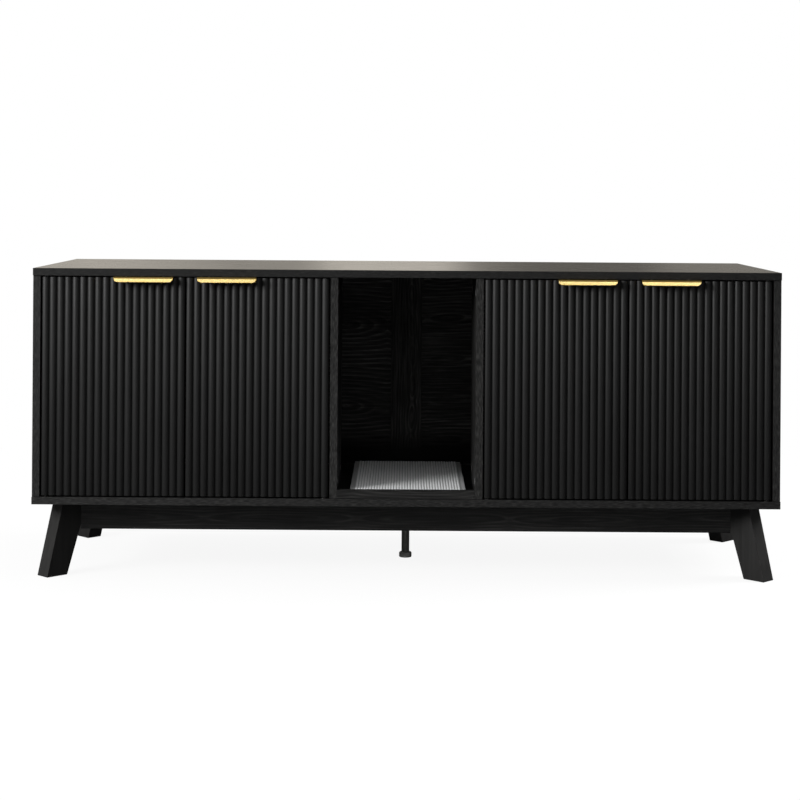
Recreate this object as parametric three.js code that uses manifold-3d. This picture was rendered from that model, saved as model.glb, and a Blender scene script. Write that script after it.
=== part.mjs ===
// Cat litter box cabinet: a long black sideboard on splayed legs. Two double-door
// compartments hold the litter boxes, and an open bay between them holds a scratch pad.
// The bay's side walls stop halfway back, so a cat walks in over the pad and turns
// behind a wall into either compartment.
//
// Millimetres. +X is to the right seen from the front, +Y runs to the back, +Z is up.
// The origin is on the floor, in the middle of the overall box (door pulls included).
// While it is built, Y counts from the front edge of the top panel.

import * as THREE from "three";
import { mergeVertices } from "three/addons/utils/BufferGeometryUtils.js";
import Module from "manifold-3d";

const wasm = await Module();
wasm.setup();

// ---------------------------------------------------------------- driving dimensions

// Cabinet
const WIDTH = 1800; // over the top panel
const DEPTH = 600; // front edge of the top panel to its back edge
const HEIGHT = 746; // floor to top surface
const LEG_HEIGHT = 178; // floor to the underside of the bottom panel
const BOARD = 18; // thickness of the carcass boards
const SIDE_INSET = 0.4; // side panels, in from the ends of the top panel
const FRONT_INSET = 3; // side panels, dividers and doors, back from the top's front edge
const FIT = 0.3; // gap between pieces that touch

// Bay and back
const BAY_WIDTH = 332; // clear width between the dividers
const DIVIDER_DEPTH = 297; // front to back: the way into the compartments is behind it
const LIP_HEIGHT = 21;
const LIP_THICKNESS = 18;
const BACK_INSET = 3; // back panels, in from the back edge of the top panel
const BACK_THICKNESS = 9;
const STILE_WIDTH = 83; // covers the joint between the two back panels
const STILE_THICKNESS = 18;

// Doors
const DOOR_CORE = 13; // door thickness behind the ribs
const RIB_DEPTH = 5;
const RIB_PITCH = 18.16; // the sheet of ribs is trimmed alike at the door's two edges
const RIB_STEPS = 8; // flats along one rib's arc
const DOOR_SIDE_GAP = 4; // door to side panel or divider
const DOOR_MEETING_GAP = 4; // between the two doors of a pair
const DOOR_END_GAP = 3; // above and below a door

// Door pivots: a pin on a flush round plate turns in a bush let into the door's end
const PIVOT_FROM_EDGE = 9.5; // pin axis, in from the door's hinge edge
const PIN_DIAMETER = 5;
const PIN_LENGTH = 12;
const PIN_PLATE_DIAMETER = 20;
const PIN_PLATE_THICKNESS = 2.4;
const PIN_CLEARANCE = 0.3; // radial, pin in bush
const BUSH_DIAMETER = 8.6;
const BUSH_FLANGE_DIAMETER = 12;
const BUSH_DEPTH = 11;

// Door pulls: a flat strip on the door's top edge, folded down in front of the door
const PULL_LENGTH = 142;
const PULL_FROM_FREE_EDGE = 98; // middle of the pull to the door's free edge
const PULL_PROJECTION = 20; // front of the pull, ahead of the door
const PULL_DROP = 13.2; // height of the folded lip
const PULL_THICKNESS = 1.4;
const PULL_SEAT = 15; // how far the strip reaches back over the door's top edge
const PULL_BEND = 4.5; // outer radius of the fold
const PULL_CORNER = 10.5; // radius of the lip's lower corners

// Catch: a block behind the meeting edges of each pair of doors
const CATCH_LENGTH = 66;
const CATCH_DEPTH = 14;
const CATCH_HEIGHT = 13;

// Cam locks that hold the dividers
const CAM_DIAMETER = 15;
const CAM_DEPTH = 12;
const CAM_FROM_END = 38; // from the divider's top and bottom ends
const CAM_FROM_EDGE = 42; // from the divider's front and back edges
const CAM_CLEARANCE = 0.4; // round and behind the cam
const CAM_SLOT = 2.2; // width of the cross slot
const CAM_SLOT_DEPTH = 2.5;

// Scratch pad
const PAD_WIDTH = 280;
const PAD_LENGTH = 474;
const PAD_THICKNESS = 21;
const PAD_OFFSET = 4.5; // it lies a little to the right of the bay's middle
const PAD_FRONT_GAP = 1;
const PAD_RIB_PITCH = 6.7;
const PAD_RIB_HEIGHT = 1.6;
const PAD_RIB_STEPS = 4;
const PAD_BORDER = 12; // least plain border beside the ribs

// Legs: flat tapered boards set on the diagonal of each corner and splayed along it
const LEG_THICKNESS = 41;
const LEG_FOOT_INSET = 32.7; // top panel's corner to the foot, along the diagonal
const LEG_FOOT_WIDTH = 58;
const LEG_TOP_WIDTH = 73;
const LEG_SPLAY = 45; // how far the leg's outer edge leans in, floor to top

// Aprons and leg brackets
const APRON_SETBACK = 77; // behind the edges of the top panel
const APRON_THICKNESS = 18;
const APRON_HEIGHT = 71;
const BRACKET_SHEET = 2.5;
const BRACKET_WEB = 52; // width of the face across the corner
const BRACKET_FLANGE = 36; // length along the back of each apron
const BRACKET_HEIGHT = 45;
const BRACKET_DROP = 6; // below the bottom panel

// Middle support: an adjustable foot
const ROD_DIAMETER = 20;
const FOOT_DIAMETER = 32;
const FOOT_HEIGHT = 13.5;
const FOOT_ROUNDING = 4;
const FOOT_TRAVEL = 12;
const SOCKET_FLANGE_DIAMETER = 60;
const SOCKET_FLANGE_THICKNESS = 3;
const SOCKET_WALL = 4;
const SOCKET_LENGTH = 66;

// ---------------------------------------------------------------- sizes worked out

const topUnderside = HEIGHT - BOARD;
const floorTop = LEG_HEIGHT + BOARD;
const innerHeight = topUnderside - floorTop;
const sideOuter = WIDTH / 2 - SIDE_INSET;
const sideInner = sideOuter - BOARD;
const dividerInner = BAY_WIDTH / 2;
const dividerOuter = dividerInner + BOARD;
const compartmentWidth = sideInner - dividerOuter;
const compartmentMiddle = (sideInner + dividerOuter) / 2;

const backRear = DEPTH - BACK_INSET;
const backFront = backRear - BACK_THICKNESS;

const doorWidth = (compartmentWidth - 2 * DOOR_SIDE_GAP - DOOR_MEETING_GAP) / 2;
const doorHeight = innerHeight - 2 * DOOR_END_GAP;
const doorThickness = DOOR_CORE + RIB_DEPTH;
const doorBottom = floorTop + DOOR_END_GAP;
const doorBack = FRONT_INSET + doorThickness;
const pivotFromFront = RIB_DEPTH + DOOR_CORE / 2; // the pin is in the middle of the core

const lipBack = FRONT_INSET + LIP_THICKNESS;
const pullFront = FRONT_INSET - PULL_PROJECTION;

// ---------------------------------------------------------------- finishes

const finish = (color, roughness, metalness = 0) =>
  new THREE.MeshStandardMaterial({ color, roughness, metalness });

const blackOak = finish(0x1d1c1b, 0.5);
const blackPaint = finish(0x222222, 0.55);
const gold = finish(0xf2d27a, 0.28, 1);
const steel = finish(0x8d8d8b, 0.35, 1);
const nylon = finish(0x3a3b39, 0.6);
const greyRib = finish(0xb9bab8, 0.9);
const darkSteel = finish(0x4a4a45, 0.4, 1);

// ---------------------------------------------------------------- geometry helpers

const mesh = (name, geometry, material) => {
  const made = new THREE.Mesh(geometry, material);
  made.name = name;
  return made;
};

// A box between two corners.
function block([x0, y0, z0], [x1, y1, z1]) {
  const geometry = new THREE.BoxGeometry(x1 - x0, y1 - y0, z1 - z0);
  return geometry.translate((x0 + x1) / 2, (y0 + y1) / 2, (z0 + z1) / 2);
}

// An outline in X and Y, pushed up from z0 to z1.
function extrudeUp(outline, z0, z1) {
  const shape = new THREE.Shape(outline.map(([x, y]) => new THREE.Vector2(x, y)));
  const options = { depth: z1 - z0, bevelEnabled: false };
  return new THREE.ExtrudeGeometry(shape, options).translate(0, 0, z0);
}

// An outline in Y and Z, pushed along X from x0 to x1.
function extrudeAlongX(outline, x0, x1) {
  const turned = new THREE.Matrix4().makeBasis(
    new THREE.Vector3(0, 1, 0),
    new THREE.Vector3(0, 0, 1),
    new THREE.Vector3(1, 0, 0),
  );
  return extrudeUp(outline, x0, x1).applyMatrix4(turned);
}

// An outline in X and Z, pushed along Y from y0 to y1.
function extrudeAlongY(outline, y0, y1) {
  return extrudeUp(outline, -y1, -y0).rotateX(Math.PI / 2);
}

// A profile of [radius, height] points, turned about Z.
function turn(profile, sides) {
  const points = profile.map(([r, z]) => new THREE.Vector2(r, z));
  return new THREE.LatheGeometry(points, sides).rotateX(Math.PI / 2);
}

function cylinder(diameter, z0, z1, sides) {
  const radius = diameter / 2;
  return turn([[0, z0], [radius, z0], [radius, z1], [0, z1]], sides);
}

// Points on an arc about [cx, cy], from one angle to another, both ends included.
function arc(cx, cy, radius, from, to, steps) {
  return Array.from({ length: steps + 1 }, (_, i) => {
    const angle = from + ((to - from) * i) / steps;
    return [cx + radius * Math.cos(angle), cy + radius * Math.sin(angle)];
  });
}

function solidOf(geometry) {
  const bare = geometry.index ? geometry.toNonIndexed() : geometry.clone();
  bare.deleteAttribute("normal");
  bare.deleteAttribute("uv");
  const merged = mergeVertices(bare, 1e-4);
  return new wasm.Manifold(
    new wasm.Mesh({
      numProp: 3,
      vertProperties: new Float32Array(merged.attributes.position.array),
      triVerts: new Uint32Array(merged.index.array),
    }),
  );
}

function geometryOf(solid) {
  const { vertProperties, triVerts } = solid.getMesh();
  const geometry = new THREE.BufferGeometry()
    .setAttribute("position", new THREE.BufferAttribute(vertProperties, 3))
    .setIndex(new THREE.BufferAttribute(triVerts, 1));
  geometry.computeVertexNormals();
  return geometry;
}

const cut = (geometry, tools) =>
  geometryOf(tools.reduce((left, tool) => left.subtract(solidOf(tool)), solidOf(geometry)));

const common = (a, b) => geometryOf(solidOf(a).intersect(solidOf(b)));

// A flat bar with round ribs along its top: from u = 0 to width, base at v = 0, the ribs'
// crests at v = thickness. Where the ribs are narrower than the bar, a plain border is left
// at both sides, and where they are wider, the two end ribs are trimmed.
function ribbedOutline({ width, thickness, depth, count, pitch, steps }) {
  const border = (width - count * pitch) / 2;
  const radius = (pitch * pitch) / (8 * depth) + depth / 2;
  const halfAngle = Math.asin(pitch / (2 * radius));
  const endAngle = Math.asin((pitch / 2 + Math.min(0, border)) / radius);
  const valley = thickness - depth;
  const outline = [[0, 0], [width, 0]];
  if (border > 0) outline.push([width, valley]);
  for (let rib = count - 1; rib >= 0; rib -= 1) {
    const middle = border + pitch * (rib + 0.5);
    const from = Math.PI / 2 - (rib === count - 1 ? endAngle : halfAngle);
    const to = Math.PI / 2 + (rib === 0 ? endAngle : halfAngle);
    const points = arc(middle, thickness - radius, radius, from, to, steps);
    outline.push(...points.slice(rib === count - 1 ? 0 : 1));
  }
  if (border > 0) outline.push([0, valley]);
  return outline;
}

// ---------------------------------------------------------------- door pairs

// Every door: the X of its hinge edge, and the way it reaches from there.
const doors = [
  { place: "outer_left", hingeX: -(sideInner - DOOR_SIDE_GAP), reach: 1 },
  { place: "inner_left", hingeX: -(dividerOuter + DOOR_SIDE_GAP), reach: -1 },
  { place: "inner_right", hingeX: dividerOuter + DOOR_SIDE_GAP, reach: 1 },
  { place: "outer_right", hingeX: sideInner - DOOR_SIDE_GAP, reach: -1 },
];

const pivotOf = ({ hingeX, reach }) => [
  hingeX + reach * PIVOT_FROM_EDGE,
  FRONT_INSET + pivotFromFront,
];

const ends = [
  { end: "top", up: 1, panelFace: topUnderside },
  { end: "bottom", up: -1, panelFace: floorTop },
];

// The flush plates' seats in the panel above or below the doors.
function pinPlateSeats({ up, panelFace }) {
  const seatFace = panelFace - up * FIT;
  const seatEnd = panelFace + up * (PIN_PLATE_THICKNESS + FIT);
  const [low, high] = [Math.min(seatFace, seatEnd), Math.max(seatFace, seatEnd)];
  return doors.map((door) => {
    const [x, y] = pivotOf(door);
    return cylinder(PIN_PLATE_DIAMETER + 2 * FIT, low, high, 24).translate(x, y, 0);
  });
}

// A pin on its plate: the plate's outer face at z = 0, the pin hanging down from it.
function pinGeometry() {
  const plate = PIN_PLATE_DIAMETER / 2;
  const pin = PIN_DIAMETER / 2;
  const profile = [
    [0, -PIN_LENGTH],
    [pin, -PIN_LENGTH],
    [pin, 0],
    [plate, 0],
    [plate, PIN_PLATE_THICKNESS],
    [0, PIN_PLATE_THICKNESS],
  ];
  return turn(profile, 20);
}

// A bush: its sleeve hangs down from z = 0, the door's end, and its flange stands above.
function bushGeometry() {
  const bore = PIN_DIAMETER / 2 + PIN_CLEARANCE;
  const flangeLow = FIT;
  const flangeHigh = DOOR_END_GAP - FIT;
  const profile = [
    [bore, -BUSH_DEPTH],
    [BUSH_DIAMETER / 2, -BUSH_DEPTH],
    [BUSH_DIAMETER / 2, flangeLow],
    [BUSH_FLANGE_DIAMETER / 2, flangeLow],
    [BUSH_FLANGE_DIAMETER / 2, flangeHigh],
    [bore, flangeHigh],
    [bore, -BUSH_DEPTH],
  ];
  return turn(profile, 20);
}

// A door slab round its pivot axis, which is x = y = 0, with holes for the two bushes.
function doorGeometry(reach) {
  const outline = ribbedOutline({
    width: doorWidth,
    thickness: doorThickness,
    depth: RIB_DEPTH,
    count: Math.ceil(doorWidth / RIB_PITCH),
    pitch: RIB_PITCH,
    steps: RIB_STEPS,
  }).map(([u, v]) => [
    reach * (u - PIVOT_FROM_EDGE),
    doorThickness - v - pivotFromFront,
  ]);
  const hole = BUSH_DIAMETER + 2 * FIT;
  const deep = Math.max(BUSH_DEPTH, PIN_LENGTH - DOOR_END_GAP) + FIT;
  return cut(extrudeUp(outline, 0, doorHeight), [
    cylinder(hole, -FIT, deep, 20),
    cylinder(hole, doorHeight - deep, doorHeight + FIT, 20),
  ]);
}

// A pull: y = 0 is the door's front, z = 0 its top edge, and x = 0 the pull's middle.
function pullGeometry() {
  const top = FIT + PULL_THICKNESS;
  const front = -PULL_PROJECTION;
  const inside = PULL_BEND - PULL_THICKNESS;
  const [cy, cz] = [front + PULL_BEND, top - PULL_BEND];
  const section = [
    [PULL_SEAT, FIT],
    [PULL_SEAT, top],
    ...arc(cy, cz, PULL_BEND, Math.PI / 2, Math.PI, 6),
    [front, top - PULL_DROP],
    [front + PULL_THICKNESS, top - PULL_DROP],
    ...arc(cy, cz, inside, Math.PI, Math.PI / 2, 6),
  ];
  const half = PULL_LENGTH / 2;
  const low = top - PULL_DROP;
  const corner = Math.min(PULL_CORNER, PULL_DROP - PULL_THICKNESS, half);
  const face = [
    [half, top + FIT],
    [-half, top + FIT],
    ...arc(-half + corner, low + corner, corner, Math.PI, 1.5 * Math.PI, 6),
    ...arc(half - corner, low + corner, corner, 1.5 * Math.PI, 2 * Math.PI, 6),
  ];
  return common(
    extrudeAlongX(section, -half - FIT, half + FIT),
    extrudeAlongY(face, front - FIT, PULL_SEAT + FIT),
  );
}

// A door with what it carries, in a group whose Z axis is the pivot axis.
function doorGroup(door) {
  const { place, reach } = door;
  const [x, y] = pivotOf(door);
  const group = new THREE.Group();
  group.position.set(x, y, doorBottom);

  const pull = mesh(`pull_${place}`, pullGeometry(), gold);
  const pullX = reach * (doorWidth - PULL_FROM_FREE_EDGE - PIVOT_FROM_EDGE);
  pull.position.set(pullX, -pivotFromFront, doorHeight);

  const topBush = mesh(`pivot_bush_top_${place}`, bushGeometry(), nylon);
  topBush.position.z = doorHeight;
  const bottomBush = mesh(`pivot_bush_bottom_${place}`, bushGeometry(), nylon);
  bottomBush.rotation.x = Math.PI;

  group.add(mesh(`door_${place}`, doorGeometry(reach), blackPaint));
  return group.add(pull, topBush, bottomBush);
}

// The pins that a door turns on.
function doorPins(door) {
  const [x, y] = pivotOf(door);
  return ends.map(({ end, up, panelFace }) => {
    const pin = mesh(`pivot_pin_${end}_${door.place}`, pinGeometry(), steel);
    pin.position.set(x, y, panelFace);
    pin.rotation.x = up > 0 ? 0 : Math.PI;
    return pin;
  });
}

function catchBlock(hand, side) {
  const middle = side * compartmentMiddle;
  const front = doorBack + FIT;
  const top = topUnderside - FIT;
  return mesh(
    `door_catch_${hand}`,
    block(
      [middle - CATCH_LENGTH / 2, front, top - CATCH_HEIGHT],
      [middle + CATCH_LENGTH / 2, front + CATCH_DEPTH, top],
    ),
    nylon,
  );
}

// ---------------------------------------------------------------- carcass

function panelBetween(name, y0, y1, x0, x1) {
  const low = [Math.min(x0, x1), y0, floorTop + FIT];
  const high = [Math.max(x0, x1), y1, topUnderside - FIT];
  return mesh(name, block(low, high), blackOak);
}

const camPlaces = [
  { where: "top_front", y: CAM_FROM_EDGE, z: innerHeight - CAM_FROM_END },
  { where: "top_rear", y: DIVIDER_DEPTH - CAM_FROM_EDGE, z: innerHeight - CAM_FROM_END },
  { where: "bottom_front", y: CAM_FROM_EDGE, z: CAM_FROM_END },
  { where: "bottom_rear", y: DIVIDER_DEPTH - CAM_FROM_EDGE, z: CAM_FROM_END },
].map(({ where, y, z }) => ({ where, y: FRONT_INSET + y, z: floorTop + z }));

// A cam lock lying along +X: its slotted face is at x = 0 and its body runs to x > 0.
function camGeometry() {
  const reach = CAM_DIAMETER / 2 - 1.5;
  const half = CAM_SLOT / 2;
  const disc = cylinder(CAM_DIAMETER, 0, CAM_DEPTH, 24).rotateY(Math.PI / 2);
  return cut(disc, [
    block([-1, -reach, -half], [CAM_SLOT_DEPTH, reach, half]),
    block([-1, -half, -reach], [CAM_SLOT_DEPTH, half, reach]),
  ]);
}

// A divider, and the cam locks in its bay face.
function dividerWithCams(hand, side) {
  const face = side * dividerInner;
  const bore = CAM_DIAMETER + 2 * CAM_CLEARANCE;
  const bores = camPlaces.map(({ y, z }) =>
    cylinder(bore, -FIT, CAM_DEPTH + CAM_CLEARANCE, 24)
      .rotateY((side * Math.PI) / 2)
      .translate(face, y, z),
  );
  const low = [Math.min(face, side * dividerOuter), FRONT_INSET, floorTop + FIT];
  const high = [
    Math.max(face, side * dividerOuter),
    FRONT_INSET + DIVIDER_DEPTH,
    topUnderside - FIT,
  ];
  const cams = camPlaces.map(({ where, y, z }) => {
    const cam = mesh(`cam_lock_${where}_${hand}`, camGeometry(), steel);
    cam.position.set(face, y, z);
    cam.rotation.z = side > 0 ? 0 : Math.PI;
    return cam;
  });
  return [mesh(`divider_${hand}`, cut(block(low, high), bores), blackOak), ...cams];
}

function carcass() {
  const group = new THREE.Group();
  const panels = [
    { name: "top_panel", z0: topUnderside, z1: HEIGHT, end: ends[0] },
    { name: "bottom_panel", z0: LEG_HEIGHT, z1: floorTop, end: ends[1] },
  ];
  for (const { name, z0, z1, end } of panels) {
    const slab = block([-WIDTH / 2, 0, z0], [WIDTH / 2, DEPTH, z1]);
    group.add(mesh(name, cut(slab, pinPlateSeats(end)), blackOak));
  }
  for (const [hand, side] of [["left", -1], ["right", 1]]) {
    const backOuter = side * (sideInner - FIT);
    group.add(
      panelBetween(`side_panel_${hand}`, FRONT_INSET, backRear, side * sideInner, side * sideOuter),
      panelBetween(`back_panel_${hand}`, backFront, backRear, (side * FIT) / 2, backOuter),
      catchBlock(hand, side),
      ...dividerWithCams(hand, side),
    );
  }
  const stileRear = backFront - FIT;
  const stileFront = stileRear - STILE_THICKNESS;
  group.add(panelBetween("back_stile", stileFront, stileRear, -STILE_WIDTH / 2, STILE_WIDTH / 2));

  const lipEnd = dividerInner - FIT;
  const lipLow = floorTop + FIT;
  const lip = block([-lipEnd, FRONT_INSET, lipLow], [lipEnd, lipBack, floorTop + LIP_HEIGHT]);
  return group.add(mesh("bay_lip", lip, blackOak));
}

// ---------------------------------------------------------------- scratch pad

function scratchPad() {
  const ribbed = PAD_WIDTH - 2 * PAD_BORDER;
  const count = Math.max(1, Math.floor(ribbed / PAD_RIB_PITCH));
  const outline = ribbedOutline({
    width: PAD_WIDTH,
    thickness: PAD_THICKNESS,
    depth: PAD_RIB_HEIGHT,
    count,
    pitch: ribbed / count,
    steps: PAD_RIB_STEPS,
  });
  const pad = mesh("scratch_pad", extrudeAlongY(outline, 0, PAD_LENGTH), greyRib);
  pad.position.set(PAD_OFFSET - PAD_WIDTH / 2, lipBack + PAD_FRONT_GAP, floorTop + FIT);
  return pad;
}

// ---------------------------------------------------------------- base

// The corners of the top panel. In a corner's group the X axis runs in along the diagonal.
const corners = [
  { corner: "front_left", x: -WIDTH / 2, y: 0, turned: Math.PI / 4 },
  { corner: "front_right", x: WIDTH / 2, y: 0, turned: (3 * Math.PI) / 4 },
  { corner: "rear_right", x: WIDTH / 2, y: DEPTH, turned: (5 * Math.PI) / 4 },
  { corner: "rear_left", x: -WIDTH / 2, y: DEPTH, turned: (7 * Math.PI) / 4 },
];

// The leg's side view, in distance along the diagonal and height, pushed across it.
function legGeometry() {
  const footInner = LEG_FOOT_INSET + LEG_FOOT_WIDTH;
  const topOuter = LEG_FOOT_INSET + LEG_SPLAY;
  const side = [
    [LEG_FOOT_INSET, 0],
    [footInner, 0],
    [topOuter + LEG_TOP_WIDTH, LEG_HEIGHT - FIT],
    [topOuter, LEG_HEIGHT - FIT],
  ];
  return extrudeAlongY(side, -LEG_THICKNESS / 2, LEG_THICKNESS / 2);
}

// A bent steel strip across the corner, with a flange flat on the back of each apron.
function bracketGeometry() {
  const half = BRACKET_WEB / 2;
  const apronBack = (APRON_SETBACK + APRON_THICKNESS + FIT) * Math.SQRT2;
  const run = BRACKET_FLANGE / Math.SQRT2;
  const skew = BRACKET_SHEET / Math.SQRT2;
  const fold = BRACKET_SHEET * (Math.SQRT2 - 1);
  const web = apronBack + half;
  const rightHalf = [
    [web, half],
    [web + run, half + run],
    [web + run + skew, half + run - skew],
    [web + BRACKET_SHEET, half - fold],
  ];
  const leftHalf = rightHalf.map(([s, t]) => [s, -t]).reverse();
  const top = LEG_HEIGHT - BRACKET_DROP;
  return extrudeUp([...rightHalf, ...leftHalf], top - BRACKET_HEIGHT, top);
}

// Aprons run between the flat sides of two legs, their ends cut at 45 degrees. In an
// apron's group the edge of the top panel is y = 0, its middle x = 0, and +Y runs in.
function apronGeometry(panelLength) {
  const legSide = (LEG_THICKNESS / 2 + FIT) * Math.SQRT2;
  const endAt = (y) => panelLength / 2 - y - legSide;
  const [outer, inner] = [APRON_SETBACK, APRON_SETBACK + APRON_THICKNESS];
  const outline = [
    [-endAt(outer), outer],
    [endAt(outer), outer],
    [endAt(inner), inner],
    [-endAt(inner), inner],
  ];
  const top = LEG_HEIGHT - FIT;
  return extrudeUp(outline, top - APRON_HEIGHT, top);
}

const aprons = [
  { name: "front_apron", length: WIDTH, x: 0, y: 0, turned: 0 },
  { name: "right_apron", length: DEPTH, x: WIDTH / 2, y: DEPTH / 2, turned: Math.PI / 2 },
  { name: "rear_apron", length: WIDTH, x: 0, y: DEPTH, turned: Math.PI },
  { name: "left_apron", length: DEPTH, x: -WIDTH / 2, y: DEPTH / 2, turned: -Math.PI / 2 },
];

function base() {
  const group = new THREE.Group();
  for (const { corner, x, y, turned } of corners) {
    const place = new THREE.Group();
    place.position.set(x, y, 0);
    place.rotation.z = turned;
    place.add(mesh(`leg_${corner}`, legGeometry(), blackPaint));
    place.add(mesh(`leg_bracket_${corner}`, bracketGeometry(), steel));
    group.add(place);
  }
  for (const { name, length, x, y, turned } of aprons) {
    const apron = mesh(name, apronGeometry(length), blackOak);
    apron.position.set(x, y, 0);
    apron.rotation.z = turned;
    group.add(apron);
  }
  return group;
}

// ---------------------------------------------------------------- middle support

function support() {
  const group = new THREE.Group();
  group.position.set(0, DEPTH / 2, 0);

  const rod = ROD_DIAMETER / 2;
  const foot = FOOT_DIAMETER / 2;
  const bore = rod + FIT;
  const sleeve = bore + SOCKET_WALL;
  const flange = SOCKET_FLANGE_DIAMETER / 2;
  const socketTop = LEG_HEIGHT - FIT;
  const boreTop = socketTop - SOCKET_FLANGE_THICKNESS;
  const socketLow = socketTop - SOCKET_LENGTH;
  const socket = [
    [0, boreTop],
    [bore, boreTop],
    [bore, socketLow],
    [sleeve, socketLow],
    [sleeve, boreTop],
    [flange, boreTop],
    [flange, socketTop],
    [0, socketTop],
  ];
  const footProfile = [
    [0, 0],
    [foot, 0],
    ...arc(foot - FOOT_ROUNDING, FOOT_HEIGHT - FOOT_ROUNDING, FOOT_ROUNDING, 0, Math.PI / 2, 4),
    [0, FOOT_HEIGHT],
  ];
  const rodTop = boreTop - FOOT_TRAVEL - FIT;
  group.add(mesh("support_socket", turn(socket, 28), nylon));
  group.add(mesh("support_rod", cylinder(ROD_DIAMETER, FOOT_HEIGHT + FIT, rodTop, 28), darkSteel));
  return group.add(mesh("support_foot", turn(footProfile, 28), nylon));
}

// ---------------------------------------------------------------- the whole cabinet

const cabinet = new THREE.Group();
cabinet.add(carcass(), scratchPad(), base(), support());
for (const door of doors) cabinet.add(doorGroup(door), ...doorPins(door));
cabinet.position.y = -(DEPTH + pullFront) / 2; // the pulls are the front of the whole box

const part = new THREE.Group();
part.add(cabinet);

export default part;
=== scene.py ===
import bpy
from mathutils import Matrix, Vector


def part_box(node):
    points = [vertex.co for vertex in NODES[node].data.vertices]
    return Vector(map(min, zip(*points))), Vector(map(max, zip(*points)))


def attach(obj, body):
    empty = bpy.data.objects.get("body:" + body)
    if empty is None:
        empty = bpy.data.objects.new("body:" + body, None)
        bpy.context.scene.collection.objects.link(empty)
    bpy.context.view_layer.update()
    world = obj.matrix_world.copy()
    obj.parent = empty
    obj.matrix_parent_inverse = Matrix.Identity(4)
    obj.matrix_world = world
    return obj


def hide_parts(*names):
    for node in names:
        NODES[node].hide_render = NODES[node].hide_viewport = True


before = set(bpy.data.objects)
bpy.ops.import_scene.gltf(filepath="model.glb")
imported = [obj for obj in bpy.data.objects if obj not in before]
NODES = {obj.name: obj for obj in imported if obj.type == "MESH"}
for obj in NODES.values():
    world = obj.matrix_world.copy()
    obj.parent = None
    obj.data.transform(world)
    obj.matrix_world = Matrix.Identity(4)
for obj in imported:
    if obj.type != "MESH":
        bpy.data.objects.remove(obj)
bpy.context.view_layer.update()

import math

import bmesh
import bpy
from mathutils import Matrix, Vector

# Cat litter box cabinet. Metres, +X right, +Y back, +Z up; the origin is on the floor in
# the middle of the overall box. Lengths written with MM are in millimetres.

MM = 0.001
RIGHT_ANGLE = math.pi / 2
HALVES = ("left", "right")

# ------------------------------------------------------------------ camera

# Solved from the photo: the focal length and the pixel that a level view would run to, in
# the photo's own pixels, and where the camera stood for a cabinet of this width.
IMAGE_SIDE = 800
FOCAL_PIXELS = 1863.7
AXIS_PIXEL = (404.4, 191.0)
CAMERA_PLACE = (-0.0087, -4.7685, 0.9369)
CAMERA_ROLL = 0.00685
SENSOR_WIDTH = 36  # mm, as Blender counts its focal lengths


def make_camera():
    data = bpy.data.cameras.new("camera")
    data.sensor_width = SENSOR_WIDTH
    data.lens = FOCAL_PIXELS * SENSOR_WIDTH / IMAGE_SIDE
    data.shift_x = (IMAGE_SIDE / 2 - AXIS_PIXEL[0]) / IMAGE_SIDE
    data.shift_y = (AXIS_PIXEL[1] - IMAGE_SIDE / 2) / IMAGE_SIDE
    camera = link("camera", data)
    level = Matrix.Rotation(RIGHT_ANGLE, 4, "X")
    rolled = Matrix.Rotation(-CAMERA_ROLL, 4, "Y")
    camera.matrix_world = Matrix.Translation(CAMERA_PLACE) @ rolled @ level
    bpy.context.scene.camera = camera


# ------------------------------------------------------------------ node helpers

NOISE_LOW, NOISE_HIGH = 0.3, 0.7  # nearly all values of a noise lie between these


class Field:
    """A number that varies over a surface. Arithmetic on it adds Math nodes."""

    def __init__(self, tree, socket):
        self.tree = tree
        self.socket = socket

    def math(self, operation, *others):
        node = self.tree.nodes.new("ShaderNodeMath")
        node.operation = operation
        for slot, value in enumerate((self, *others)):
            feed(self.tree, node.inputs[slot], value)
        return Field(self.tree, node.outputs[0])

    def __add__(self, other):
        return self.math("ADD", other)

    def __sub__(self, other):
        return self.math("SUBTRACT", other)

    def __mul__(self, other):
        return self.math("MULTIPLY", other)

    def most(self, other):
        return self.math("MAXIMUM", other)

    def size(self):
        return self.math("ABSOLUTE")

    def sine(self):
        return self.math("SINE")

    def root(self):
        return self.math("SQRT")

    def fold(self, half):
        """Distance to the nearest multiple of twice half."""
        return self.math("PINGPONG", half)

    def between(self, low, high, out_low=0.0, out_high=1.0):
        """Eases from out_low to out_high as the field goes from low to high."""
        node = self.tree.nodes.new("ShaderNodeMapRange")
        node.interpolation_type = "SMOOTHSTEP"
        for slot, value in enumerate((self, low, high, out_low, out_high)):
            feed(self.tree, node.inputs[slot], value)
        return Field(self.tree, node.outputs[0])

    def mix(self, start, stop):
        """From start to stop as the field goes from 0 to 1."""
        return self * (stop - start) + start

    def vary(self, out_low=0.0, out_high=1.0):
        """Eases from out_low to out_high over the range of a noise."""
        return self.between(NOISE_LOW, NOISE_HIGH, out_low, out_high)

    def ramp(self, *stops):
        """A colour from stops of (place, colour)."""
        node = self.tree.nodes.new("ShaderNodeValToRGB")
        points = node.color_ramp.elements
        while len(points) < len(stops):
            points.new(0.5)
        for point, (place, colour) in zip(points, stops):
            point.position = place
            point.color = (*colour, 1)
        feed(self.tree, node.inputs[0], self)
        return node.outputs[0]

    def tint(self, low, high):
        """From one colour to another over the range of a noise."""
        return self.ramp((NOISE_LOW, low), (NOISE_HIGH, high))


def feed(tree, socket, value):
    if isinstance(value, Field):
        value = value.socket
    if isinstance(value, bpy.types.NodeSocket):
        tree.links.new(value, socket)
    else:
        socket.default_value = value


def fresh_tree(owner):
    """The node tree of a material or of the world, emptied."""
    owner.use_nodes = True
    owner.node_tree.nodes.clear()
    return owner.node_tree


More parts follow.
